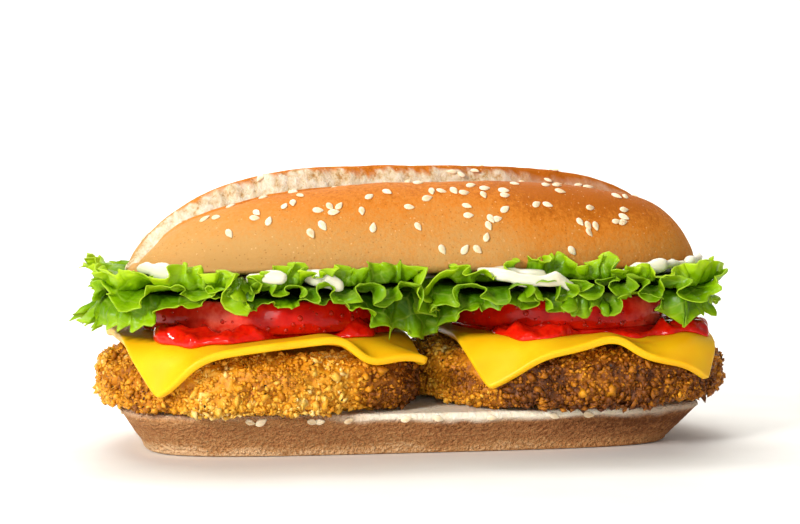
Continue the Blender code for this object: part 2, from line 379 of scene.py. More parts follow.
def sesame():
    """Hulled sesame seed, lightly toasted in the bake: ivory, a tan edge at the point and a faint sheen."""
    material, tree, place = start_material("hulled_sesame")
    grain = cloud(tree, place, 0.9)
    base = ramp(tree, add_up(tree, painted(tree, "tone"), (grain, 0.35)),
                (0.0, "#f3e2c2"), (0.45, "#ead3ac"), (0.8, "#d9b486"), (1.0, "#bd8a55"))
    return end_material(material, principled(
        tree, base, 0.38, 1.47, relief(tree, grain, 0.15, 0.2), soak=0.25, spread=(1.0, 0.7, 0.4), depth=0.8))


def fried_crumb():
    """Dried breadcrumb, fried: every grain took the oil differently, from straw to deep brown, with a wet
    shine, and here and there a dark fleck of herb."""
    material, tree, place = start_material("fried_breadcrumb")
    grain = cloud(tree, place, 1.3, 4.0, 0.7)
    shade = add_up(tree, painted(tree, "tone"), (grain, 0.55), (cloud(tree, place, 7), 0.5))
    base = ramp(tree, maths(tree, "SUBTRACT", shade, 0.52), (0.0, "#542909"), (0.2, "#874a0d"),
                (0.4, "#bd7411"), (0.6, "#e29a1c"), (0.8, "#f0b945"), (1.0, "#f8dc94"))
    base = blend(tree, flecks(tree, place, 2.6, 0.17, 0.86), base, colour("#1d0d04"))
    return end_material(material, principled(
        tree, base, 0.42, 1.47, relief(tree, grain, 0.6, 0.5), specular=0.3, soak=0.1,
        spread=(1.0, 0.5, 0.2)))


def processed_cheese():
    """Processed cheese slice, cast smooth and softened by the hot patty: an even deep yellow that light soaks
    into, with a buttery satin shine and very shallow waves."""
    material, tree, place = start_material("processed_cheese")
    waves = cloud(tree, place, 11)
    sweat = cloud(tree, place, 3, 3.0)
    return end_material(material, principled(
        tree, ramp(tree, waves, (0.3, "#fdb408"), (0.7, "#fec314")), carry(tree, sweat, 0.3, 0.5), 1.46,
        relief(tree, waves, 0.25, 1.2), specular=0.25, soak=0.35, spread=(1.0, 0.6, 0.12), depth=2.4))


def tomato_ketchup():
    """Tomato ketchup: a thick strained sauce, saturated red, smooth and wet, so it mirrors every lamp."""
    material, tree, place = start_material("tomato_ketchup")
    pulp = cloud(tree, place, 1.4, 3.0)
    lumps = cloud(tree, place, 2.0, 0.5)
    return end_material(material, principled(
        tree, ramp(tree, pulp, (0.3, "#cd1104"), (0.7, "#e21f08")), 0.08, 1.45, relief(tree, lumps, 0.6, 0.8),
        soak=0.15, spread=(1.0, 0.15, 0.08), depth=2.0))


def ripe_tomato():
    """Ripe tomato, cut with a knife: thin taut skin round the rim, wet flesh with paler strands across the
    cut, and a film of juice that gives it a sharp shine."""
    material, tree, place = start_material("ripe_tomato")
    strands = cloud(tree, place, 3.5, 4.0, 0.6)
    skin = ramp(tree, strands, (0.3, "#b30802"), (0.7, "#d81c06"))
    flesh = ramp(tree, strands, (0.35, "#d0220c"), (0.7, "#e8694c"))
    # The flesh share also paints a highlight on one patch of each slice's rim
    return end_material(material, principled(
        tree, blend(tree, painted(tree, "flesh"), skin, flesh), 0.13, 1.40, relief(tree, strands, 0.15, 0.5),
        specular=0.25, soak=0.2, depth=2.0))


def green_lettuce():
    """Frilled green lettuce, washed: a thin waxy leaf, deep green inside and yellow-green towards the young
    edge, which ends in a pale line; a net of pale veins puckers it, and light glows through from behind."""
    material, tree, place = start_material("green_lettuce")
    edge, along, across, young = [painted(tree, name) for name in ("edge", "along", "across", "young")]
    shade = add_up(tree, maths(tree, "POWER", edge, 2.2), (cloud(tree, place, 9, 3.0), 0.9), (young, 0.4))
    base = ramp(tree, maths(tree, "MULTIPLY_ADD", shade, 0.6, -0.17), (0.12, "#386400"), (0.3, "#558600"),
                (0.55, "#7bab00"), (0.78, "#a2cc04"), (1.0, "#c6e41c"))
    # Main veins run out to the edge about 7 mm apart, with a finer net of about 2.6 mm between them
    leaf_place = add_node(tree, "CombineXYZ", {0: along, 1: across, 2: young}).outputs[0]
    main, net = [add_node(tree, "TexVoronoi", {
        "Vector": leaf_place, "Scale": 1 / spacing, "Randomness": uneven}, feature="DISTANCE_TO_EDGE"
    ).outputs["Distance"] for spacing, uneven in ((7, 0.9), (2.6, 1.0))]
    veins = maths(tree, "ADD", carry(tree, main, 0.22, 0.0, end=0.05), carry(tree, net, 0.06, 0.0, end=0.08))
    pale = maths(tree, "MAXIMUM", veins, carry(tree, edge, 0.0, 0.22, start=0.96))
    base = blend(tree, pale, base, colour("#cfe35e"))
    bump = relief(tree, maths(tree, "ADD", net, main), 0.4, 0.9)
    front = principled(tree, base, 0.32, 1.38, bump, specular=0.35)
    through = add_node(tree, "BsdfTranslucent", {"Color": base, "Normal": bump}).outputs[0]
    return end_material(material, add_node(tree, "MixShader", {0: 0.35, 1: front, 2: through}).outputs[0])


def egg_mayonnaise():
    """Mayonnaise, an egg and oil emulsion: off-white, soft, with light soaking in and an oily shine."""
    material, tree, place = start_material("egg_mayonnaise")
    swirl = cloud(tree, place, 6)
    return end_material(material, principled(
        tree, ramp(tree, swirl, (0.3, "#e0dabd"), (0.7, "#e9e5d0")), 0.2, 1.46, relief(tree, swirl, 0.2, 0.8),
        soak=0.4, spread=(1.0, 0.8, 0.5), depth=2.0))


def water():
    """Clear water left from washing: small tight beads with a glint each, red from what lies under them."""
    material, tree, place = start_material("clear_water")
    bump = relief(tree, cloud(tree, place, 2.0), 0.05, 0.2)
    return end_material(material, principled(tree, colour("#d9301c"), 0.03, 1.333, bump, clear=0.5))


def pale_table():
    """Matt laminate with a barely visible grain, so that the burger's own shadow is all it shows."""
    material, tree, place = start_material("pale_laminate")
    grain = cloud(tree, place, 30, 4.0)
    base = ramp(tree, grain, (0.3, "#efebe4"), (0.7, "#f4f1eb"))
    shader = add_node(tree, "BsdfPrincipled", {"Base Color": base, "Roughness": 0.6}).outputs[0]
    return end_material(material, shader)


# The crown and its seeds

CROWN_PLAN_POWER, CROWN_DOME_POWER = 2.7, 2.1
# Along the loaf the dome is as high as (1 - u^power)^root, towards the left end and towards the right
CROWN_LENGTHWISE = ((3.3, 0.70), (4.9, 0.61))
CROWN_FILLET = 3.0  # height of the rounded lower edge
CROWN_FLAT = 0.92  # how much of the width lies flat underneath
CROWN_PROUD = 0.6  # how far the dome stands over its node's box, before the skin is worn back
SPLIT_Y = (-3.5, 4.5)  # where the split runs, at the left end and at the right end
SPLIT_DEPTH = 6.2  # how far the front lobe's skin lies under the back lobe's
SPLIT_FACE = 3.4  # width of the torn face between them


def crown_grid(stations=260, dome_points=126):
    """Rings of points from the left end to the right, each running from the back, over the dome, to the front
    and back again underneath. Gives the points, their normals, and shares of bare crumb and of browning with
    painted shade."""
    low, high = box_mm("crown")
    middle, half = middle_and_half("crown")
    rise = high[2] - low[2] + CROWN_PROUD - CROWN_FILLET
    # u goes along the loaf from -1 to 1, in smaller steps towards the ends, and k over the dome from 0 to 1
    t = np.linspace(0, 1, stations)
    u = mix(2 * t - 1, -np.cos(pi * t), 0.7)[:, None]
    width = half[1] * (1 - np.abs(u) ** CROWN_PLAN_POWER) ** (1 / CROWN_PLAN_POWER)
    fillet = CROWN_FILLET * (1 - u * u)

    k = np.linspace(0, 1, dome_points + 1)[None]
    over = np.cos(pi * k + 0.30 * np.sin(2 * pi * k))
    along = np.where(u < 0, *[(1 - np.abs(u) ** power) ** root for power, root in CROWN_LENGTHWISE])
    across = (1 - np.abs(over) ** CROWN_DOME_POWER) ** (1 / CROWN_DOME_POWER)

    turn = np.linspace(0, pi / 2, 7)[1:]
    edge = mix(CROWN_FLAT, 1.0, np.cos(turn))
    floor = CROWN_FLAT * np.linspace(-1, 1, 16)[1:-1]
    under_y = np.concatenate([-edge, floor, edge[::-1]])[None]
    under_z = np.concatenate([1 - np.sin(turn), 0 * floor, (1 - np.sin(turn))[::-1]])[None]
    y = np.concatenate([width * over, width * under_y], axis=1)
    z = np.concatenate([fillet + rise * along * across, fillet * under_z], axis=1)
    x = np.broadcast_to(middle[0] + u * half[0], y.shape)
    points = np.stack([x, y, low[2] + z], axis=-1)
    normals = outward_normals(points)

    # The loaf split along its length: behind the lip the back lobe stands higher, with a torn face
    line = x[:, :1] * [1.0, 0.0, 0.0]
    lip = mix(*SPLIT_Y, (u[:, 0] + 1) / 2) + 0.9 * noise(line, 11, 3) + 0.5 * noise(line, 3, 4)
    lip = lip + 0.6 * smooth((-x[:, 0] - 5) / 20) * noise(line, 1.5, 5)
    lip = lip[:, None]
    behind = y - lip
    on_top = smooth((normals[..., 2] + 0.35) / 0.3) * (np.arange(y.shape[1]) <= dome_points)
    run_out = 0.72 * (width + lip) + 1e-6
    front = SPLIT_DEPTH * (1 - smooth((-behind - 2.5) / run_out))
    front -= 0.5 * hump(behind, -0.9, 0.8)
    face = (SPLIT_DEPTH + 0.8) * (1 - smooth(behind / SPLIT_FACE))
    fade = smooth((1 - np.abs(u)) / 0.025) * (1 - smooth((u - 0.58) / 0.36))
    fade = fade * (1 - 0.5 * smooth((-u - 0.6) / 0.3))
    inset = np.where(behind < 0, front, face) * fade * on_top
    torn = 0.9 * noise(points, 5, 6) + 0.5 * noise(points, 1.6, 7)
    torn_to = SPLIT_FACE * (0.6 + 0.15 * smooth((-x - 12) / 30)) + 0.7 * torn
    crumb = smooth((behind + 0.3) / 0.35) * (1 - smooth((behind - torn_to) / 0.5))
    crumb = crumb * on_top * (1 - 0.7 * smooth((x - 22) / 22)) * (1 - smooth((u - 0.72) / 0.16))

    dent = 0.7 * hump(x, 19.3, 1.6) * smooth((-behind - 1) / 4) * (1 - smooth((-behind - 12) / 8))
    uneven = 0.55 * noise(points, 24, 1) + 0.2 * noise(points, 9, 2) + 0.05 * noise(points, 2.2, 12)
    pitted = crumb * (0.8 * noise(points, 2.4, 8) + 0.6 * noise(points, 0.9, 9))
    skinned = points + normals * (on_top * (uneven - dent - 0.4) - inset + pitted)[..., None]
    skinned[[0, -1]] = skinned[[0, -1]].mean(axis=1, keepdims=True)

    # Browner along the top and along the lips of the split. Darker towards the right end and paler at the
    # left end is painted shade and light from the key lamp at the left.
    height = (points[..., 2] - low[2]) / (high[2] - low[2])
    browning_and_shade = 0.06 + 0.75 * smooth((height - 0.15) / 0.7) + 0.1 * hump(behind, -3, 4) * on_top
    browning_and_shade = browning_and_shade + 0.42 * smooth((x - 10) / 34) - 0.1 * smooth((-x - 30) / 30)
    browning_and_shade = browning_and_shade + 0.12 * hump(behind, SPLIT_FACE + 1.5, 1.5) * on_top
    return skinned, unit(normals + outward_normals(skinned)), crumb, browning_and_shade


# Seeds on the near side of the crown: x along the bun and height z, in mm, and how far each leans from level
CROWN_SEEDS = (
    (-58, 64, 50), (-55, 64.5, 5), (-51, 68, 60), (-52.5, 60, -55), (-45, 66, -35), (-45, 64.3, -5),
    (-42, 64, 80), (-42.3, 70, 30), (-37, 67.7, 75), (-34.8, 68.5, -80), (-32.5, 70.2, -40), (-34, 73, 0),
    (-28.3, 66.4, -5), (-24.8, 67.8, -60), (-22.4, 67.6, 60), (-24.4, 65.8, 5), (-28, 62.7, -60),
    (-31, 60.5, -65), (-19.7, 71.7, -35), (-13.8, 70, 35), (-17, 66.3, -85), (-14, 61.5, 80),
    (-9, 71.4, -40), (-3.6, 67.2, -10), (-1.7, 62.3, -60), (0.4, 73.6, 0), (2.7, 73.5, -5),
    (3.8, 71.5, -75), (6, 71.6, -25), (1.8, 69.5, 15), (9.6, 71.3, -60), (11.9, 71, 0), (15.3, 73, 15),
    (12.6, 67.3, -30), (12.2, 64.6, 0), (17.7, 70.6, -80), (18.6, 72.3, 0), (20.9, 73, -40),
    (23.5, 71.3, -10), (23.3, 70, 0), (22.5, 66.7, 35), (20.5, 64.1, 10), (18, 64.2, -60), (17.5, 62, -70),
    (16.8, 59.2, 75), (4.2, 56.3, -60), (10.9, 56.5, 55), (13.7, 55.5, -45), (28, 73.4, -30),
    (32.2, 68.2, 25), (35.5, 67.4, -25), (37, 73, -5), (40.3, 72.8, -10), (40, 71.3, -30), (47.5, 67, 0),
    (43.8, 62.8, -55), (46.6, 62, -75), (48.8, 61.5, -80), (46, 60, -60), (57.2, 69.7, -50),
    (60.5, 69.5, 30), (58.4, 66.2, 0), (57.8, 64.3, -30), (54.6, 63.2, 10), (56.8, 63, 10), (41, 55.8, -50),
    (51, 72.6, 0))
TORN_SEEDS = (-41, -38, -35, -6, 1, 15, 18, 31, 33, 36, 43, 46, 52)  # and by x, those in the tear
SEED_SIZE = (1.58, 0.94, 0.44)  # half length, half width and half thickness
RULED_OUT = 1e6  # added to the cost of a place where no seed may lie


def sesame_shape():
    """A flat teardrop of radius about 1: round at one end, drawn to a blunt point at the other."""
    points, faces = small_shape(bmesh.ops.create_uvsphere, u_segments=12, v_segments=7)
    x = points[:, 0]
    narrow = mix(1.08, 0.5, smooth((x + 0.2) / 1.3))
    return points * np.stack([1 + 0 * x, narrow, mix(1, 0.75, smooth(x))], axis=-1), faces


def scatter_seeds(name, surface, normals, targets, leans, proud, material, rng):
    """Seeds laid flat on a surface, each at the point of it nearest to its target and `proud` mm above."""
    nearest = np.array([np.argmin(((surface - target) ** 2).sum(axis=1)) for target in targets])
    facing = unit(normals[nearest] + rng.normal(0, 0.10, (len(targets), 3)))
    sizes = np.array(SEED_SIZE) * rng.uniform(0.88, 1.1, (len(targets), 1))
    seed = sesame_shape()
    axes = axes_on(facing, np.radians(leans))
    points, faces = scatter(seed, surface[nearest] + facing * proud, axes, sizes, 0.02, rng)
    # Each is a little more golden in the middle than round its edge
    golden = 0.4 * smooth(1.1 - 1.2 * np.hypot(seed[0][:, 0], seed[0][:, 1]))
    tone = (rng.uniform(-0.25, 0.25, (len(targets), 1)) + golden).ravel()
    make_piece(name, np.column_stack([points, tone]), [faces], material, values=["tone"])


def crown_pieces(crust, seed_material):
    """The crown and the seeds on it."""
    rng = np.random.default_rng(21)
    grid, normals, crumb, browning_and_shade = crown_grid()
    points, face_sets = globe(with_columns(grid, crumb, browning_and_shade))
    make_piece("crown_bun", points, face_sets, crust, ["crown"], ["crumb", "browning_and_shade"])

    surface, facing = grid[2:-2].reshape(-1, 3), normals[2:-2].reshape(-1, 3)
    x, y, z = surface.T
    bare = crumb[2:-2].ravel()
    off_near_side = np.where((y < 2) & (bare < 0.1), 0, RULED_OUT)
    targets = [surface[np.argmin((x - seed_x) ** 2 + (z - seed_z) ** 2 + off_near_side)]
               for seed_x, seed_z, _ in CROWN_SEEDS]
    off_tear = np.where((bare > 0.2) & (y > -12), 0, RULED_OUT)
    for seed_x in TORN_SEEDS:
        cost = (x - seed_x - rng.uniform(-1, 1)) ** 2 + off_tear
        targets.append(surface[np.argmin(cost + rng.uniform(0, 2, len(cost)))])
    # The far side is seeded the same way, at random
    for place in surface[rng.choice(np.flatnonzero((y > 9) & (facing[:, 2] > 0.15)), 34)]:
        for _ in range(rng.integers(1, 5)):
            targets.append(place + rng.normal(0, 2.3, 3))
    ends = np.flatnonzero((np.abs(x) > 66) & (facing[:, 2] > 0.25) & (y > -8))
    targets.extend(surface[rng.choice(ends, 8)])
    listed = [lean for _, _, lean in CROWN_SEEDS]
    leans = np.concatenate([listed, rng.uniform(0, 360, len(targets) - len(listed))])
    scatter_seeds("crown_seeds", surface, facing, targets, leans, 0.2, seed_material, rng)


# The heel

HEEL_FOOT = (75.0, 31.0)  # half length and half width of the underside
HEEL_PLAN_POWER = 4.2
FOOT_ROUND, BRIM_ROUND = 1.2, 1.8  # radius of its lower and of its upper edge
HEEL_SEEDS = (-47.6, -44.8, -31, -28.6, -21, -6, 3, 17.6, 35.6, 45.7)  # by x, along the front of the band


def heel_pieces(crust, seed_material):
    """The bottom bun: a flat foot, flaring sides, a pale band under the cut face, and a few seeds on it."""
    rng = np.random.default_rng(31)
    middle, half = middle_and_half("heel")
    top = box_mm("heel")[1][2]
    segments = 440
    angles = np.linspace(0, 2 * pi, 4000, endpoint=False)
    foot, brim = [evenly_along(superellipse(angles, *size, HEEL_PLAN_POWER), segments, closed=True)
                  for size in (HEEL_FOOT, half[:2])]
    brim = brim + middle[:2]
    # Rings from the middle of the foot to the middle of the cut face: share of the outline, height, and flare
    rings = [(share, 0.0, 0.0) for share in (0.0, 0.3, 0.6, 0.85, 0.95, 0.975)]
    rings += [(mix(0.975, 1.0, sin(a)), FOOT_ROUND * (1 - cos(a)), 0.0)
              for a in np.linspace(0, pi / 2, 5)[1:]]
    shoulder = top - BRIM_ROUND
    rings += [(1.0, z, (z - FOOT_ROUND) / (top - (FOOT_ROUND + BRIM_ROUND)))
              for z in np.linspace(FOOT_ROUND, shoulder, 20)[1:]]
    rings += [(mix(0.975, 1.0, cos(a)), shoulder + BRIM_ROUND * sin(a), 1.0)
              for a in np.linspace(0, pi / 2, 6)[1:]]
    rings += [(share, top, 1.0) for share in (0.96, 0.93, 0.88, 0.8, 0.68, 0.5, 0.25, 0.0)]
    smooth_grid = np.array([np.column_stack([mix(foot, brim, flare) * share, np.full(segments, z)])
                            for share, z, flare in rings])
    normals = outward_normals(smooth_grid)
    z = smooth_grid[..., 2]
    on_side = smooth((z - 0.8) / 2.0) * smooth((top - 0.2 - z) / 1.5)
    swell = 0.5 * noise(smooth_grid, 20, 11) + 0.25 * noise(smooth_grid, 7, 12) - 0.3
    squashed = smooth_grid * [1, 1, 2.2]
    wrinkled = (0.16 * noise(squashed, 2.6, 13) + 0.10 * noise(squashed, 1.3, 14)) * smooth((top - 4 - z) / 4)
    grid = smooth_grid + normals * (on_side * (swell + wrinkled) - 0.05)[..., None]
    grid[..., 2] = np.maximum(grid[..., 2], 0)

    x = grid[..., 0]
    # Painted shade: the pale band is narrower and fainter at the left and fades at the right, where the
    # patties' overhang shades it
    band = 1.3 + 1.9 * smooth((x + 36) / 16)
    band_from = top - band + 0.9 * noise(grid, 12, 15) + 0.6 * noise(grid, 3.5, 16)
    shown = mix(0.3, 1, smooth((x + 30) / 22)) * mix(1, 0.45, smooth((x - 44) / 24))
    cut_face = smooth((0.99 - np.array(rings)[:, :1]) * 60) * (z > top - 1)
    crumb = np.maximum(smooth((z - band_from) / 2.0) * shown, cut_face)
    # Paler towards the foot: partly the crust's own pallor and, stronger at the left, painted light
    pale_and_lit_foot = smooth((4.0 - z + 1.5 * noise(grid, 9, 17)) / 3.5)
    # Painted shade: a darker line just under the band, under the patties' overhang, and darker towards the
    # right and paler at the left, painted shade and light from the key lamp at the left
    browning_and_shade = 0.62 - mix(0.3, 0.5, smooth((-x - 10) / 40)) * pale_and_lit_foot + 0.14 * hump(z, top - 4.6, 1.6)
    browning_and_shade = browning_and_shade + 0.3 * smooth((x - 20) / 40) - 0.12 * smooth((-x - 20) / 40)
    points, face_sets = globe(with_columns(grid, crumb, browning_and_shade))
    make_piece("heel_bun", points, face_sets, crust, ["heel"], ["crumb", "browning_and_shade"])

    on_band = (grid[..., 2] > top - 2.8) & (grid[..., 2] < top - 0.3)
    surface, facing = grid[on_band], normals[on_band]
    listed = [(seed_x, -half[1] - 2, top - 2.2) for seed_x in HEEL_SEEDS]
    targets = np.concatenate([listed, surface[rng.choice(np.flatnonzero(surface[:, 1] > -25), 14)]])
    leans = rng.uniform(-30, 30, len(targets))
    scatter_seeds("heel_seeds", surface, facing, targets, leans, 0.02, seed_material, rng)


# The patties

PATTY_TOP_POWER, PATTY_FOOT_POWER = 3.5, 7.0  # how square the rim is above and below
HELD_TO = 37.5  # how far from the bun's middle line the heel holds the patties up
GRAIN_CLEARANCE = 2.2  # from loose grains to the middle of the cheese
# Loose breading, fine and coarse: how many grains, their least and greatest size in mm, and the share of them
# moved to the rim's lower edge
BREADING = ((7300, 0.32, 0.9, 0.15), (2000, 0.7, 1.5, 0.4))


def over_heel(points):
    """Whether points in mm lie over the heel's cut face."""
    middle, half = middle_and_half("heel")
    return (np.abs((points[..., :2] - middle[:2]) / half[:2]) ** HEEL_PLAN_POWER).sum(axis=-1) < 1


def settle_on_heel(points):
    """Lifts whatever would sink into the heel, and lets the overhanging rim sag a little past its edge."""
    top = box_mm("heel")[1][2]
    past = np.abs(points[..., 1]) - HELD_TO
    points[..., 2] -= 0.6 * smooth(past / 4) * smooth((top + 7 - points[..., 2]) / 5)
    points[..., 2] = np.where(over_heel(points), np.maximum(points[..., 2], top + 0.05), points[..., 2])
    return points


def patty_rings(side, segments=420, steps=140):
    """The rings of a smooth patty, and each ring's radius."""
    middle, half = middle_and_half(f"patty_{side}")
    lat = np.linspace(-pi / 2, pi / 2, 2000)
    power = np.where(lat > 0, PATTY_TOP_POWER, PATTY_FOOT_POWER)
    profile = np.column_stack([(half[0] - 0.5) * np.cos(lat) ** (2 / power),
                               (half[2] - 0.3) * np.sign(lat) * np.abs(np.sin(lat)) ** (2 / power)])
    profile = evenly_along(profile, steps)
    # The flat faces are hidden by the cheese and the heel, so their rings stand further apart
    profile = profile[[i for i in range(steps) if profile[i, 0] > 32 or i % 8 == 0 or i == steps - 1]]
    out = compass(segments)[1]
    # The two patties press against each other, so that each is squarer on the side towards the other
    inward = TOWARDS_MIDDLE[side]
    towards = np.abs(np.degrees(np.arctan2(out[:, 1], out[:, 0] * inward)))
    squared = 1 + 0.085 * hump(towards, 45, 26) + 0.035 * hump(towards, 135, 26)
    grid = middle + profile[:, :1, None] * (out * squared[:, None])[None] + profile[:, 1:, None] * UP
    grid[..., 0] += inward * 2.3 * smooth(((grid[..., 0] - middle[0]) * inward - 18) / 22)
    return grid, profile[:, 0]


def patty_pieces(side, breading):
    """A breaded disc with a rough skin, and the loose grains and flakes of the breading standing on it."""
    rng = np.random.default_rng({"left": 41, "right": 42}[side])
    grid, radii = patty_rings(side)
    normals = outward_normals(grid)
    on_rim = smooth((radii - 20) / 14)[:, None]
    lumps = 0.9 * noise(grid, 13, 21) + 0.5 * noise(grid, 5.0, 22)
    ridges = 0.6 * (1 - 2 * np.abs(noise(grid, 3.4, 23))) + 0.55 * (1 - 2 * np.abs(noise(grid, 1.7, 24)))
    grid = grid + normals * ((lumps + ridges - 0.9) * mix(0.3, 1.0, on_rim))[..., None]
    grid = settle_on_heel(grid)
    tone = 0.25 + 0.16 * noise(grid, 13, 25) + 0.14 * ridges + fried_and_shaded_by_side(grid)
    points, face_sets = globe(with_columns(grid, tone))
    make_piece(f"patty_core_{side}", points, face_sets, breading, [f"patty_{side}"], ["tone"])

    # Angular crumbs all over the rim, most of them in front, where it isn't covered by cheese
    surface, facing = grid[radii > 34].reshape(-1, 3), normals[radii > 34].reshape(-1, 3)
    at_front = np.flatnonzero(surface[:, 1] < 4)
    lower_rim = np.flatnonzero((surface[:, 2] < patty_middle(side)[2] - 1.5) & (surface[:, 1] < 10))
    covered = kd_tree(draped(side, cheese_plan(side, 44)).reshape(-1, 3))
    grain = small_shape(bmesh.ops.create_uvsphere, u_segments=5, v_segments=2)
    points, faces = [], []
    for count, smallest, largest, low_share in BREADING:
        picks = rng.integers(0, len(surface), count)
        for share, wanted in ((0.45, at_front), (low_share, lower_rim)):
            moved = rng.random(count) < share
            picks[moved] = rng.choice(wanted, moved.sum())
        picks = picks[[covered.find(place)[2] > GRAIN_CLEARANCE for place in surface[picks]]]
        count = len(picks)
        size = mix(smallest, largest, rng.random((count, 1)) ** 1.6)
        sizes = size * rng.uniform([0.7, 0.6, 0.3], [1.4, 1.1, 0.8], (count, 3))
        lean = unit(facing[picks] + rng.normal(0, 0.7, (count, 3)))
        places = surface[picks] + facing[picks] * size * rng.uniform(-0.3, 0.6, (count, 1))
        axes = axes_on(lean, rng.uniform(0, 2 * pi, count))
        grains, grain_faces = scatter(grain, places, axes, sizes, 0.4, rng)
        tone = 0.42 + 0.2 * noise(places, 13, 25) + 0.16 * noise(places, 4.5, 26) + rng.normal(0, 0.11, count)
        tone = tone + fried_and_shaded_by_side(places)
        faces.append(grain_faces + sum(len(other) for other in points))
        points.append(np.column_stack([grains, np.repeat(tone, len(grains) // count)]))
    make_piece(f"crumbs_{side}", settle_on_heel(np.concatenate(points)), [np.concatenate(faces)], breading,
               values=["tone"], faceted=True)


def fried_and_shaded_by_side(points):
    """Tone by x: the left patty golden in the middle; painted shade from there to the right, away from the
    key lamp, lifted again over the right patty's left part and at its end; darker at the far left end; and a
    painted shadow where the two patties meet.
    """
    x = points[..., 0]
    golden = 0.15 + 0.2 * hump(x, -34, 16) - 0.36 * smooth((x + 26) / 18) + 0.33 * hump(x, 11, 12)
    golden = golden + 0.06 * smooth((x - 55) / 20)
    return golden - 0.08 * smooth((-x - 66) / 12) - 0.3 * hump(x, 0.5, 4)


def kd_tree(points):
    tree = KDTree(len(points))
    for i, point in enumerate(points):
        tree.insert(point, i)
    tree.balance()
    return tree


# Cheese, ketchup and tomato

CHEESE_THICKNESS = 2.2
UNDER_POOL = 0.3  # from the slice's top to the ketchup node's underside
CHEESE_FLAT_RADIUS, CHEESE_BEND_RADIUS = 40.5, 6.5
# Each slice's side, its turn in degrees and its shift from the patty's middle. Then by direction from there,
# in degrees from +X: how steeply it hangs, in degrees, and how far its edge waves up or down, in mm
CHEESES = {
    "left": {"side": 80.0, "turn": 5, "shift": (1.4, -5.2),
             "hang": ((10, 14), (45, 34), (90, 10), (118, 45), (142, 14), (192, 8), (205, 36), (220, 72),
                      (238, 73), (243, 50), (247, 28), (253, 14), (262, 6), (295, 3), (299, 18), (304, 28),
                      (311, 13), (317, 13), (322, 26), (330, 28), (340, 22)),
             "wave": ((262, 0), (277, 0.9), (291, 1.9), (296, 1.5), (302, -0.6), (309, 0))},
    "right": {"side": 72.5, "turn": 1.5, "shift": (-1.4, -9.8),
              "hang": ((10, 40), (45, 50), (90, 10), (135, 35), (180, 8), (200, 12), (215, 46), (229, 60),
                       (240, 61), (245, 44), (250, 31), (262, 20), (268, 6), (276, 6), (286, 34), (297, 52),
                       (306, 72), (318, 86), (345, 60)),
              "wave": ((258, 0), (266, 0.8), (272, 1.4), (276, 0.7), (280, -0.9), (285, -1.9), (291, -1.9),
                       (299, -0.8), (306, 0))},
}


def patty_middle(side):
    return middle_and_half(f"patty_{side}")[0]


def round_about(knots, direction):
    """A value by direction in degrees, blended softly between its knots and round through 360."""
    turns = np.array(knots, float)
    turns = np.concatenate([turns - [360, 0], turns, turns + [360, 0]])
    fine = np.arange(-40, 401)
    values = np.interp(fine, turns[:, 0], turns[:, 1])
    values = np.convolve(np.pad(values, 4, mode="edge"), np.hanning(11)[1:-1] / 5, "valid")
    return np.interp(direction, fine, values)


def draped(side, flat, lift=0.0):
    """Where points of the flat slice (x, y from the patty's middle) come to lie, `lift` mm above its core."""
    form = CHEESES[side]
    base_z = box_mm(f"ketchup_{side}")[0][2] - UNDER_POOL - CHEESE_THICKNESS / 2
    direction = np.degrees(np.arctan2(flat[..., 1], flat[..., 0])) % 360
    run = np.linalg.norm(flat, axis=-1)
    hang = np.radians(round_about(form["hang"], direction))
    past = np.maximum(0, run - CHEESE_FLAT_RADIUS)
    bend = np.minimum(past / CHEESE_BEND_RADIUS, hang)
    straight = past - bend * CHEESE_BEND_RADIUS
    reach = np.minimum(run, CHEESE_FLAT_RADIUS) + CHEESE_BEND_RADIUS * np.sin(bend) + straight * np.cos(bend)
    drop = CHEESE_BEND_RADIUS * (1 - np.cos(bend)) + straight * np.sin(bend)
    # All the way round to the first direction listed, the edge doesn't wave
    waving = ((form["wave"][0][0] - 200, 0), *form["wave"])
    wave = round_about(waving, direction) * smooth((run - 32) / 9)
    out = flat / np.maximum(run, 1e-6)[..., None]
    reach = reach + lift * np.sin(bend)
    z = base_z - drop + wave + lift * np.cos(bend)
    return np.concatenate([patty_middle(side)[:2] + out * reach[..., None], z[..., None]], axis=-1)


def cheese_plan(side, steps):
    """The flat slice: a square grid with rounded corners, turned and shifted from the patty's middle."""
    form = CHEESES[side]
    a = np.linspace(-1, 1, steps)
    square = np.stack(np.meshgrid(a, a, indexing="ij"), axis=-1)
    square = square * (1 - 0.035 * np.abs(square[..., :1] * square[..., 1:]) ** 9)
    turn = radians(form["turn"])
    spin = np.array([[cos(turn), sin(turn)], [-sin(turn), cos(turn)]])
    return square * form["side"] / 2 @ spin + form["shift"]


def cheese_piece(side, cheese):
    """A square slice laid on the patty and hanging over its rim."""
    steps = 66
    grid = draped(side, cheese_plan(side, steps))
    grid[..., 2] += 0.2 * noise(grid, 15, 31)
    piece = make_piece(f"cheese_slice_{side}", grid.reshape(-1, 3), [grid_faces(steps, steps)], cheese,
                       [f"cheese_{side}"])
    thicken(piece, CHEESE_THICKNESS)
    edge = piece.modifiers.new("soft_edge", "BEVEL")
    edge.width = 0.75 * MM
    edge.segments = 3
    edge.limit_method = "ANGLE"
    edge.angle_limit = radians(50)


KETCHUP_POOL = 33.0  # radius of the pool on the flat of the slice
# How far it creeps out past that, by direction: (degrees, mm, width in degrees)
KETCHUP_LOBES = {
    "left": ((221, 5, 8), (231, 8.5, 8), (243, 10.0, 8), (256, 9.0, 8), (268, 5.5, 7), (315, 8.5, 13),
             (338, 7, 10), (60, 5, 14), (140, 5, 12), (192, -4, 24)),
    "right": ((228, 6.5, 8), (240, 9.5, 8), (252, 8.0, 8), (287, 4, 8), (303, 6.5, 8), (317, 11.0, 8),
              (331, 8.0, 8), (80, 5, 14), (150, 6, 12)),
}


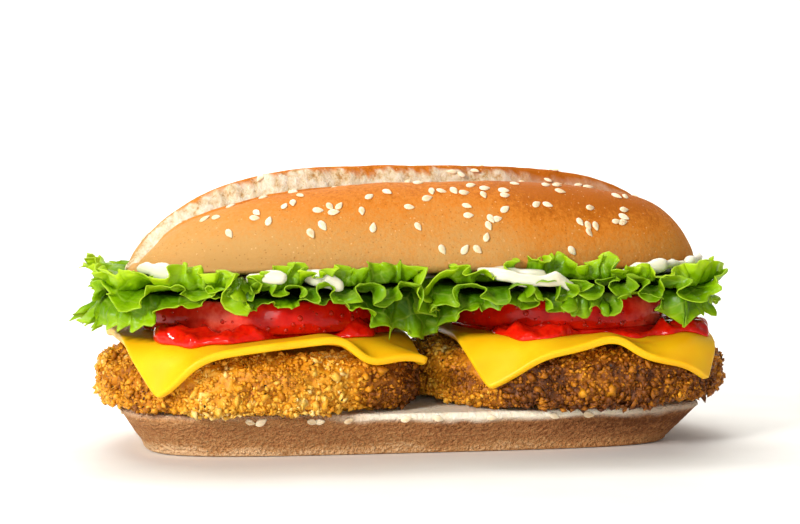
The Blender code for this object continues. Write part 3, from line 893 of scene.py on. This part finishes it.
def ketchup_piece(side, sauce):
    """A pool on the cheese that creeps out in fat glossy lobes and follows the slice over its bend."""
    angles, out = compass(220)
    degrees = np.degrees(angles)
    creeping = sum(creep * hump((degrees - direction + 180) % 360 - 180, 0, spread)
                   for direction, creep, spread in KETCHUP_LOBES[side])
    reach = KETCHUP_POOL + creeping + 0.7 * noise(out * 30, 4, 41)
    share = np.concatenate([np.linspace(0, 0.8, 6), 0.8 + 0.2 * np.sin(np.linspace(0, pi / 2, 20)[1:])])
    spots = share[:, None, None] * reach[None, :, None] * out
    flat = spots[..., :2]
    run = np.linalg.norm(flat, axis=-1)
    inward = np.clip((1 - share[:, None]) * reach[None] / 3.4, 0, 1)
    lumps = 1 + 0.5 * noise(spots, 5, 42 + len(side)) + 0.4 * noise(spots, 2.3, 44)
    fat = 1.3 + 2.0 * smooth(creeping / 6)
    thick = fat * np.sqrt(inward * (2 - inward)) * lumps
    # Under the tomato it is pressed thin, and squeezed up into a bead round its rim
    thick = mix(thick, np.minimum(thick, 1.0), smooth((37.5 - run) / 2))
    thick = thick + 0.75 * hump(run, 32.6, 1.1)
    base = CHEESE_THICKNESS / 2 + 0.12
    top = draped(side, flat, base + thick)
    bottom = draped(side, flat[::-1], base)
    points, face_sets = globe(np.concatenate([top, bottom[1:]]))
    make_piece(f"ketchup_pool_{side}", points, face_sets, sauce, [f"ketchup_{side}"])


# Each slice's random seed, the turn of its five lobes in radians, and the direction in degrees of the
# painted highlight on its rim
TOMATOES = {"left": (51, 0.0, 243), "right": (52, 2.1, 311)}
BEADS = 200  # of water on each


def tomato_piece(side, flesh, drops):
    """A cross-cut slice with a bulging rim of skin, and beads of water on the rim."""
    seed, lobes_turned, highlight_at = TOMATOES[side]
    rng = np.random.default_rng(seed)
    middle, half = middle_and_half(f"tomato_{side}")
    inner = (0.0, 0.3, 0.6, 0.85, 0.94)
    rings = [(share, -1.0) for share in inner]
    rings += [(mix(0.955, 1.0, cos(lat)), sin(lat)) for lat in np.linspace(-pi / 2, pi / 2, 23)]
    rings += [(share, 1.0) for share in inner[::-1]]
    shares, ups = np.array(rings).T
    ups = np.sign(ups) * np.abs(ups) ** 0.8
    angles, out = compass(220)
    lobes = 1 - 0.012 * (1 + np.sin(5 * angles + lobes_turned))
    grid = middle + shares[:, None, None] * half[0] * lobes[None, :, None] * out[None]
    grid[..., 2] += (ups * half[2])[:, None]
    grid = grid + 0.25 * (noise(grid, 12, 51) * shares[:, None])[..., None] * out[None]
    # Cut flesh inside, and on the rim one patch of painted highlight, laid on with the paler flesh colour
    pale = 0.85 * hump(np.degrees(angles), highlight_at, 12)
    cut = np.maximum(smooth((0.957 - shares) / 0.015)[:, None], pale)
    points, face_sets = globe(with_columns(grid, cut))
    make_piece(f"tomato_slice_{side}", points, face_sets, flesh, [f"tomato_{side}"], ["flesh"])

    on_rim = shares > 0.975
    surface = grid[on_rim].reshape(-1, 3)
    facing = np.broadcast_to(out, grid.shape)[on_rim].reshape(-1, 3)
    picks = rng.integers(0, len(surface), BEADS)
    size = mix(0.22, 0.95, rng.random((BEADS, 1)) ** 3)
    bead = small_shape(bmesh.ops.create_icosphere, subdivisions=2)
    axes = axes_on(facing[picks], rng.uniform(0, 6, BEADS))
    points, faces = scatter(bead, surface[picks], axes, size * [1, 1, 0.6], 0.0, rng)
    make_piece(f"tomato_beads_{side}", points, [faces], drops)


# Lettuce

LEAF_EDGE_INSET = 15.5  # how far inside the leaf's outline its frill begins
LEAF_GAUGE = 0.24  # thickness of the leaf
TOOTH_PITCH = 2.6  # from one tooth of the leaf's edge to the next
# Height of each leaf's middle over the pile's, and of the line where its frill begins over that; away from
# the front, the two slopes that its lobes take by turns and its share of the frill's full length; slope and
# length at the bun's end; and how young and pale it is
LAYERS = {
    "upper": {"height": 2.5, "edge_lift": 0.3, "rise": (85, -15), "length": 0.82, "end_slope": 28,
              "end_length": 1.1, "young": 0.95},
    "middle": {"height": 1.5, "edge_lift": 0.1, "rise": (25, -50), "length": 1.0, "end_slope": -10,
               "end_length": 0.8, "young": 0.0},
    "lower": {"height": -0.5, "edge_lift": 0.0, "rise": (-35, -88), "length": 1.05, "end_slope": -42,
              "end_length": 1.0, "young": 0.05},
}
# Along the front of each leaf, by x in mm: the slope of the frill's edge in degrees, up or down; the share of
# its full length that the frill has; and how far out of the bun it stays level, as a share of that length
FRILLS = {
    "left upper": {
        "slope": ((-80, 60), (-76, 75), (-73.5, 55), (-71, 25), (-69, 30), (-67, 60), (-64.5, 75),
                  (-60, 88), (-57.5, 60), (-55.5, 85), (-52, -98), (-48.5, -30), (-46.5, 60), (-43.5, 72),
                  (-40, 85), (-36.5, 105), (-33, 35), (-30.5, 0), (-28, 65), (-24, 85), (-19, 65),
                  (-15, 90), (-11, 68), (-8, 85), (-5.5, -45), (-2.5, 30)),
        "length": ((-80, 0.8), (-56, 0.82), (-52, 1.2), (-48, 0.75), (-36, 0.75), (-30, 0.6), (-25, 0.65),
                   (0, 0.65)),
        "level": ((-80, 0.2), (-27, 0.2), (-22, 0.1), (-5, 0.1))},
    "left lower": {
        "slope": ((-80, -75), (-74, -80), (-70.5, -90), (-67, -50), (-62, -35), (-57, -15), (-50, -45),
                  (-44, -5), (-38, -30), (-32, 0), (-26, -20), (-20, -35), (-14, -75), (-8, -98), (-3, -85),
                  (2, -60)),
        "length": ((-80, 0.95), (-71, 0.95), (-67.5, 0.6), (-60, 0.45), (-48, 0.45), (-22, 0.45),
                   (-16, 0.7), (-10, 0.8)),
        "level": ((-80, 0.2), (-24, 0.2), (-16, -0.1))},
    "right upper": {
        "slope": ((0, -30), (4, 60), (8, 85), (12, 65), (15, 15), (20, 0), (23, 60), (26, 112), (29, 80),
                  (31, 65), (33.5, 115), (37, 108), (39.5, 75), (42, 60), (45, 85), (49, 105), (51.5, 30),
                  (55, 15), (59, 45), (63, 20), (67, 60), (72, 70), (77, 95)),
        "length": ((0, 0.7), (12, 0.65), (20, 0.5), (25, 0.52), (38, 0.52), (42, 0.58), (49, 0.68),
                   (52, 0.6), (66, 0.8), (76, 1.05)),
        "level": ((0, 0.15), (14, 0.1), (20, -0.1), (39, -0.1), (43, 0.1), (80, 0.2))},
    "right lower": {
        "slope": ((0, -70), (4, -30), (8, -60), (13, -25), (18, -62), (23, -20), (28, -60), (31, -30),
                  (34, -78), (38, -45), (42, -82), (46, -50), (50, -80), (53, -45), (57, -10), (61, -15),
                  (66, -72), (70, -90), (74, -84)),
        "length": ((0, 0.7), (14, 0.5), (30, 0.5), (35, 0.72), (52, 0.78), (56, 0.45), (63, 0.5),
                   (67.5, 1.1), (72, 0.7)),
        "level": ((0, -0.1), (12, -0.1), (18, 0.2), (80, 0.2))},
    "left middle": {
        "slope": ((-80, 10), (-72, -45), (-65, 15), (-60, -40), (-55, 25), (-50, -30), (-45, 30),
                  (-41, -25), (-37, 15), (-33, -45), (-28, 10), (-23, -50), (-18, 30), (-14, -60), (-9, 35),
                  (-4, -40), (0, -20)),
        "length": ((-80, 1), (-70, 0.85), (-64, 0.6), (-58, 0.6), (-45, 0.55), (0, 0.65)),
        "level": ((-80, 0.2), (0, 0.2))},
    "right middle": {
        "slope": ((0, -60), (5, 30), (9, -45), (14, 20), (19, -40), (24, 10), (28, -50), (32, 45),
                  (36, -45), (40, 45), (44, -30), (48, 50), (52, -35), (56, 40), (60, -40), (64, 45),
                  (69, -50), (75, 20)),
        "length": ((0, 0.7), (30, 0.65), (60, 0.6), (75, 1)),
        "level": ((0, 0.2), (80, 0.2))},
}


def lobes_round(listed, base, run, rise, rng):
    """Positions along the leaf's base line, and the slope that its edge takes at each: the front as listed,
    and the rest up and down by turns."""
    front = base[:, 1] < -22
    knots = [(np.interp(x, base[front, 0], run[front]), slope) for x, slope in listed]
    after = knots[-1][0] + 6
    while after < run[-1] - 3:
        knots.append((after, rng.uniform(0.5, 1.1) * rise[len(knots) % 2]))
        after += rng.uniform(4.5, 8.5)
    before = knots[0][0] - 6
    while before > 3:
        knots.insert(0, (before, rng.uniform(0.5, 1.1) * rise[len(knots) % 2]))
        before -= rng.uniform(4.5, 8.5)
    return np.array(knots).T


def leaf_line(side, columns):
    """The level line round a leaf's middle where its frill begins, anticlockwise from the back."""
    middle, half = middle_and_half(f"lettuce_{side}")
    # Each leaf is longer than its half of the bun, and reaches in past the other's edge
    half = half[:2] - LEAF_EDGE_INSET + [8, 0]
    middle = middle[:2] + [TOWARDS_MIDDLE[side] * 9.5, 0]
    angles = np.linspace(0, 2 * pi, 4000, endpoint=False) + pi / 2
    outline = evenly_along(superellipse(angles, *half, 4.0), 3000, closed=True) + middle
    # The front, where the frill is seen from nearest, gets twice as many points
    filled = np.cumsum(1 + smooth((-outline[:, 1] - 12) / 15))
    wanted = np.linspace(filled[0], filled[-1], columns, endpoint=False)
    places = np.arange(len(outline))
    index = np.interp(wanted, filled, places)
    return middle, np.stack([np.interp(index, places, column) for column in outline.T], axis=-1)


def leaf_piece(side, layer, leaf, columns=500, rows=24):
    """A leaf whose frill leaves the bun level, rises or falls into lobes, and fans out along its own edge, so
    that neighbouring lobes fold over each other."""
    kind = f"{side} {layer}"
    habit = LAYERS[layer]
    seed = 60 + sorted(FRILLS).index(kind)
    rng = np.random.default_rng(seed)
    inward = TOWARDS_MIDDLE[side]
    middle, line = leaf_line(side, columns)
    run = np.concatenate([[0], np.cumsum(np.linalg.norm(np.diff(line, axis=0), axis=1))])
    tangent = unit(np.roll(line, -1, axis=0) - np.roll(line, 1, axis=0))
    tangent = np.column_stack([tangent, 0 * run])
    out = np.column_stack([tangent[:, 1], -tangent[:, 0], 0 * run])
    base_z = middle_and_half(f"lettuce_{side}")[0][2] + habit["height"]
    base = np.column_stack([line, 0 * run + base_z])
    base[:, 2] += habit["edge_lift"] + 1.2 * noise(base, 11, seed + 5)

    # How steeply each part of the edge rises or falls, from lobe to lobe, and how far they fan out
    places, slopes = lobes_round(FRILLS[kind]["slope"], line, run, habit["rise"], rng)
    knot = np.interp(run, places, np.arange(len(places)))
    here = np.minimum(np.floor(knot).astype(int), len(places) - 2)
    slope = mix(slopes[here], slopes[here + 1], smooth(knot - here))
    contrast = np.minimum(np.abs(slopes[here + 1] - slopes[here]) / 90, 1)
    fan = (8 + 28 * contrast) * np.sin(2 * pi * (knot % 1))
    slope = slope + 16 * noise(base, 7, seed + 1) + 12 * noise(base, 3.2, seed + 2)
    at_front = smooth((-line[:, 1] - 18) / 12)
    share, level = [mix(usual, np.interp(line[:, 0], *np.array(FRILLS[kind][key]).T), at_front)
                    for key, usual in (("length", habit["length"]), ("level", 0.2))]
    # The edge is cut into sharp uneven teeth
    tooth = 1 - 2 * np.abs((run / TOOTH_PITCH + 0.9 * noise(base, 7, seed + 20)) % 1 - 0.5)
    teeth = 0.9 + 0.24 * tooth ** 1.4 * (0.75 + 0.7 * noise(base, 4, seed + 25))
    ragged = teeth + 0.08 * noise(base, 9, seed) + 0.14 * noise(base, 3.4, seed + 10)
    length = (LEAF_EDGE_INSET - 0.8) * share * ragged
    # The sides towards the other leaf, and the back between the two halves, sag into the gap
    sagging = smooth((out[:, 0] * inward - 0.3) / 0.5)
    if layer == "lower":
        sagging = np.maximum(sagging, smooth((line[:, 1] - 4) / 12))
    ending = smooth((-out[:, 0] * inward - 0.72) / 0.24)
    slope = mix(slope, habit["end_slope"] + 26 * noise(base, 6, seed + 33), 0.75 * ending)
    length = length * mix(1, habit["end_length"] * {"left": 1.1, "right": 0.62}[side], ending)
    fan = fan * mix(1, 0.5, ending)
    slope = mix(slope, -89 + 18 * noise(base, 7, seed + 30), sagging)
    length = mix(length, 13.5 + 2.5 * noise(base, 5, seed + 35), sagging)

    t = np.linspace(0, 1, rows)[:, None]
    # A lobe that rises dips first, so that its underside shows
    dip = 25 * smooth(slope / 60) * (level > 0) * hump(t, 0.27, 0.16)
    curl = 50 * noise(base, 6.5, seed + 40) * smooth((t - 0.62) / 0.38)
    ripple = 20 * noise(base, 4.6, seed + 45) * smooth((t - 0.35) / 0.5)
    ripple = ripple + 46 * noise(base, 1.9, seed + 50) * smooth((t - 0.55) / 0.4)
    # One that falls arches up against the crown first
    arch = (layer == "upper") * 60 * smooth((50 - slope) / 50) * (1 - sagging) * hump(t, 0.14, 0.13)
    pitch = np.radians(np.clip(slope * smooth((t - level) / 0.5) - dip + arch + curl + ripple, -115, 115))
    wag = 36 * noise(base, 2.8, seed + 60) * smooth((t - 0.5) / 0.5)
    yaw = np.radians(fan * smooth((t - 0.25) / 0.6) + wag)
    flat = np.cos(pitch)[..., None] * out + np.sin(pitch)[..., None] * UP
    heading = np.cos(yaw)[..., None] * flat + np.sin(yaw)[..., None] * tangent
    grid = base + np.cumsum(heading * (length / (rows - 1))[:, None], axis=0)

    inner = np.array([0.0, 0.4, 0.7, 0.88, 0.96])[:, None, None]
    grid = np.concatenate([mix(np.array([*middle, base_z]), base, inner), grid])
    frilled = np.concatenate([np.zeros((len(inner), 1)), t])
    # Between its veins the leaf is puckered, more so towards the edge
    puckered = 1.0 * noise(grid, 5.5, seed + 70) + 1.1 * (0.4 - np.abs(noise(grid, 3.6, seed + 80)))
    puckered = (puckered + 0.55 * (0.4 - np.abs(noise(grid, 1.8, seed + 90)))) * mix(0.3, 1, frilled)
    grid = grid + ring_normals(grid) * puckered[..., None]
    young = habit["young"] + 0.6 * smooth((np.abs(line[:, 0] - 2) - 50) / 25)
    full = with_columns(grid, run, frilled * length, frilled, young)
    points = np.concatenate([full[:1, 0], full[1:].reshape(-1, full.shape[2])])
    quads = grid_faces(len(full) - 1, columns, closed=True) + 1
    first = np.arange(columns)
    middle_faces = np.stack([np.roll(first, -1) + 1, first + 1, 0 * first], axis=-1)
    piece = make_piece(f"lettuce_{layer}_{side}", points, [quads, middle_faces], leaf,
                       [f"lettuce_{side}"], ["along", "across", "edge", "young"])
    thicken(piece, LEAF_GAUGE)


# Mayonnaise

# Where it shows at the bun's edge: runs through places in mm, with the half thickness at each
DOLLOPS = (
    ((-76, -22, 51.0, 1.4), (-70, -30, 50.6, 2.5), (-60, -38.5, 46.6, 1.5)),
    ((-48, -41, 49.2, 1.5), (-40, -43, 49.4, 2.2)),
    ((-33, -38.5, 49.8, 2.0), (-28, -41, 48.6, 2.6), (-24.6, -41.5, 47.0, 1.8)),
    ((14.5, -38.5, 50.2, 1.3), (19, -41, 49.6, 1.8), (24, -43, 48.2, 2.0), (29, -43.5, 47.6, 1.7),
     (34, -43.8, 48.3, 2.0), (38.5, -43, 46.2, 1.5)),
    ((19, -38, 50.2, 1.6), (31, -40.5, 49.4, 1.5)),
    ((53.5, -39.5, 49.2, 1.2), (58.6, -38.5, 50.6, 2.0)),
    ((58.6, -38.5, 50.6, 1.6), (65.5, -36.5, 51.0, 2.2)),
    ((65.5, -36.5, 51.0, 1.5), (74, -30, 51.2, 1.5)),
    ((77, -27, 51.4, 1.8), (82.5, -19, 52.2, 1.4)),
    ((-60, 36, 49, 2), (-50, 38, 48.6, 2.4)),
    ((5, 38, 49, 2.2), (18, 38.5, 48.6, 2.0)),
    ((52, 38, 49, 2.4), (60, 36.5, 49, 2.0)))


def mayonnaise_piece(mayo):
    """A thin spread between leaf and crown that swells out at the edge in soft runs and drips."""
    middle, half = middle_and_half("mayonnaise")
    bm = bmesh.new()
    bmesh.ops.create_uvsphere(bm, u_segments=120, v_segments=16, radius=1)
    for vertex in bm.verts:
        x, y, z = vertex.co
        plan = superellipse(np.arctan2(y, x), half[0] - 4.5, half[1] - 4.5, 2.8)
        reach = min(1.0, np.hypot(x, y)) ** 0.5
        vertex.co = Vector((middle[0] + plan[0] * reach, plan[1] * reach, middle[2] + 0.9 * z))
    # Balls set close along each run, which then melt into one skin
    for start, end in [pair for run in DOLLOPS for pair in zip(run, run[1:])]:
        start, end = np.array(start), np.array(end)
        count = int(np.linalg.norm((end - start)[:3]) / 0.9) + 2
        for i in range(count):
            *place, radius = mix(start, end, i / (count - 1))
            radius = radius * (1 + 0.1 * sin(0.8 * i + start[0]))
            place[2] += 0.25 * sin(0.6 * i + end[0])
            ball = bmesh.ops.create_icosphere(bm, subdivisions=3, radius=radius)
            bmesh.ops.translate(bm, verts=ball["verts"], vec=place)
    bm.transform(Matrix.Scale(MM, 4))
    mesh = bpy.data.meshes.new("mayonnaise_spread")
    bm.to_mesh(mesh)
    bm.free()
    piece = add_piece("mayonnaise_spread", mesh, mayo, ["mayonnaise"])
    melt = piece.modifiers.new("one_skin", "REMESH")
    melt.mode = "VOXEL"
    melt.voxel_size = 0.8 * MM
    melt.use_smooth_shade = True
    soften = piece.modifiers.new("soften", "SMOOTH")
    soften.factor = 0.6
    soften.iterations = 8


# Light, floor and camera

def add_lamp(name, place, aim, size, power):
    light = bpy.data.lights.new(name, "AREA")
    light.size = size
    light.energy = power
    lamp = add_object(name, light)
    lamp.location = place
    lamp.rotation_euler = (Vector(aim) - lamp.location).to_track_quat("-Z", "Y").to_euler()


def set_stage():
    """A pale table that sweeps up into a backdrop, under a soft key lamp at the left, a weaker fill lamp, a
    lamp from above and a lamp for the backdrop."""
    bend = [(1.0 + 0.5 * sin(a), 0.5 - 0.5 * cos(a)) for a in np.linspace(0.1, pi / 2, 14)]
    sweep = [(-2.0, 0.0), (1.0, 0.0), *bend, (1.5, 3.0)]
    points = [(x, y, z - 0.1 * MM) for y, z in sweep for x in (-3.0, 3.0)]
    mesh = bpy.data.meshes.new("table_and_backdrop")
    mesh.from_pydata(points, [], grid_faces(len(sweep), 2).tolist())
    mesh.shade_smooth()
    mesh.materials.append(pale_table())
    add_object("table_and_backdrop", mesh)

    world = bpy.data.worlds.new("dim_room")
    bpy.context.scene.world = world
    world.use_nodes = True
    room = world.node_tree.nodes["Background"].inputs
    room["Color"].default_value = (1.0, 1.0, 1.0, 1.0)
    room["Strength"].default_value = 0.22

    on_burger = (0, 0, 0.045)
    add_lamp("key", (-0.85, -0.80, 0.52), on_burger, 0.3, 15.5)
    add_lamp("fill", (-0.1, -1.1, 0.14), on_burger, 0.3, 2.4)
    add_lamp("top", (-0.1, 0.2, 0.9), on_burger, 0.6, 3.2)
    add_lamp("backdrop", (0, 0.75, 1.3), (0, 1.5, 0.45), 1.5, 26.0)

    azimuth, elevation, distance = radians(-9.7), radians(3.4), 0.560
    target = Vector((-0.0009, 0, 0.0506))
    back = Vector((sin(azimuth) * cos(elevation), -cos(azimuth) * cos(elevation), sin(elevation)))
    camera = add_object("camera", bpy.data.cameras.new("camera"))
    camera.location = target + back * distance
    camera.rotation_euler = (-back).to_track_quat("-Z", "Y").to_euler()
    camera.data.sensor_width = 36.0
    camera.data.lens = 87.6
    bpy.context.scene.camera = camera
    bpy.context.scene.view_settings.view_transform = "Standard"


def build():
    seeds, breading = sesame(), fried_crumb()
    crown_crust = baked_crust(
        "baked_crown_crust",
        browning=((0.0, "#c29254"), (0.35, "#c98841"), (0.7, "#cc7824"), (1.0, "#ae5c10")),
        crumb_shades=((0.34, "#b98d55"), (0.44, "#dcc69e"), (0.62, "#eee4ce")),
        bran=((0.0, "#8a4a1c", 0.62), (40.0, "#eec48a", 0.84)), pebble=0.9, pebble_relief_and_shade=0.18)
    heel_crust = baked_crust(
        "baked_heel_crust",
        browning=((0.0, "#dab184"), (0.35, "#bb8856"), (0.7, "#a87044"), (1.0, "#744424")),
        crumb_shades=((0.25, "#efdcbc"), (0.45, "#f8ebd2"), (0.8, "#fdf5e4")),
        bran=((0.0, "#7a4419", 0.86),), pebble=1.0, pebble_relief_and_shade=1.0)
    crown_pieces(crown_crust, seeds)
    heel_pieces(heel_crust, seeds)
    cheese, sauce, flesh, drops = processed_cheese(), tomato_ketchup(), ripe_tomato(), water()
    for side in TOWARDS_MIDDLE:
        patty_pieces(side, breading)
        cheese_piece(side, cheese)
        ketchup_piece(side, sauce)
        tomato_piece(side, flesh, drops)
    leaf = green_lettuce()
    for side, layer in product(TOWARDS_MIDDLE, LAYERS):
        leaf_piece(side, layer, leaf)
    mayonnaise_piece(egg_mayonnaise())
    set_stage()


build()
